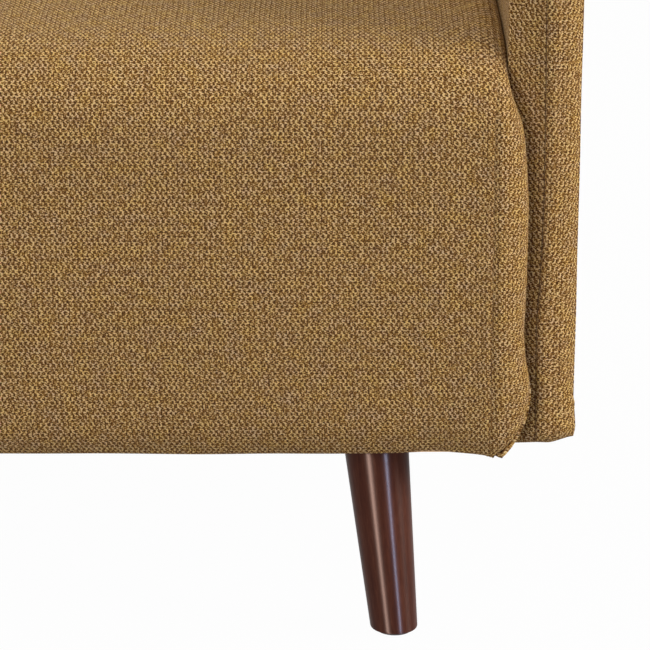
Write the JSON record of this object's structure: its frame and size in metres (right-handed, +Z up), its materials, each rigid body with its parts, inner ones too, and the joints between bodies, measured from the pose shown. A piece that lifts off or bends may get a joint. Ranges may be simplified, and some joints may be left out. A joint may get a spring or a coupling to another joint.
{
  "type": "sofa",
  "caption": "Upholstered sofa with slim panel arms, a one-piece waterfall seat front, a raked two-cushion back and splayed tapered wooden legs.",
  "frame": {"origin": "on the floor, under the centre of the sofa's width and depth", "axes": "+X to the right as seen from the front, +Y from the front to the back, +Z up"},
  "size_m": [1.8, 0.82, 0.83],
  "materials": {
    "woven_fabric": "matte",
    "stained_wood": "gloss",
    "pine": "matte",
    "hardboard": "matte",
    "foam": "matte",
    "fibre_wadding": "matte",
    "felt": "matte",
    "black_cloth": "matte",
    "cardboard": "matte",
    "glide_plastic": "matte",
    "zinc_plated_steel": "satin"
  },
  "bodies": {
    "root": {"front_rail": "pine", "rear_rail": "pine", "left_rail": "pine", "right_rail": "pine", "spring_rail": "pine", "stretchers": "pine", "corner_blocks": "pine", "springs": "zinc_plated_steel", "spring_clips": "zinc_plated_steel", "spring_pad": "felt", "seat_foam": "foam", "front_foam": "foam", "seat_wadding": "fibre_wadding", "seat_cover": "woven_fabric", "dust_cover": "black_cloth", "leg_front_left": "stained_wood", "leg_front_right": "stained_wood", "leg_rear_left": "stained_wood", "leg_rear_right": "stained_wood", "centre_leg": "stained_wood", "leg_plates": "zinc_plated_steel", "leg_bolts": "zinc_plated_steel", "leg_glides": "glide_plastic", "wood_screws": "zinc_plated_steel", "arm_left_front_post": "pine", "arm_left_rear_post": "pine", "arm_left_top_rail": "pine", "arm_left_sill": "pine", "arm_left_inner_board": "hardboard", "arm_left_outer_board": "hardboard", "arm_left_inner_foam": "foam", "arm_left_outer_foam": "foam", "arm_left_inner_cover": "woven_fabric", "arm_left_outer_cover": "woven_fabric", "arm_right_front_post": "pine", "arm_right_rear_post": "pine", "arm_right_top_rail": "pine", "arm_right_sill": "pine", "arm_right_inner_board": "hardboard", "arm_right_outer_board": "hardboard", "arm_right_inner_foam": "foam", "arm_right_outer_foam": "foam", "arm_right_inner_cover": "woven_fabric", "arm_right_outer_cover": "woven_fabric", "back_left_post": "pine", "back_right_post": "pine", "back_centre_post": "pine", "back_top_rail": "pine", "back_bottom_rail": "pine", "back_webbing": "black_cloth", "back_liner": "cardboard", "back_foam_left": "foam", "back_foam_right": "foam", "back_cover_left": "woven_fabric", "back_cover_right": "woven_fabric", "back_outer_cover": "woven_fabric", "arm_bolts": "zinc_plated_steel", "arm_washers": "zinc_plated_steel", "tee_nuts": "zinc_plated_steel", "joint_plates": "zinc_plated_steel"}
  },
  "joints": []
}
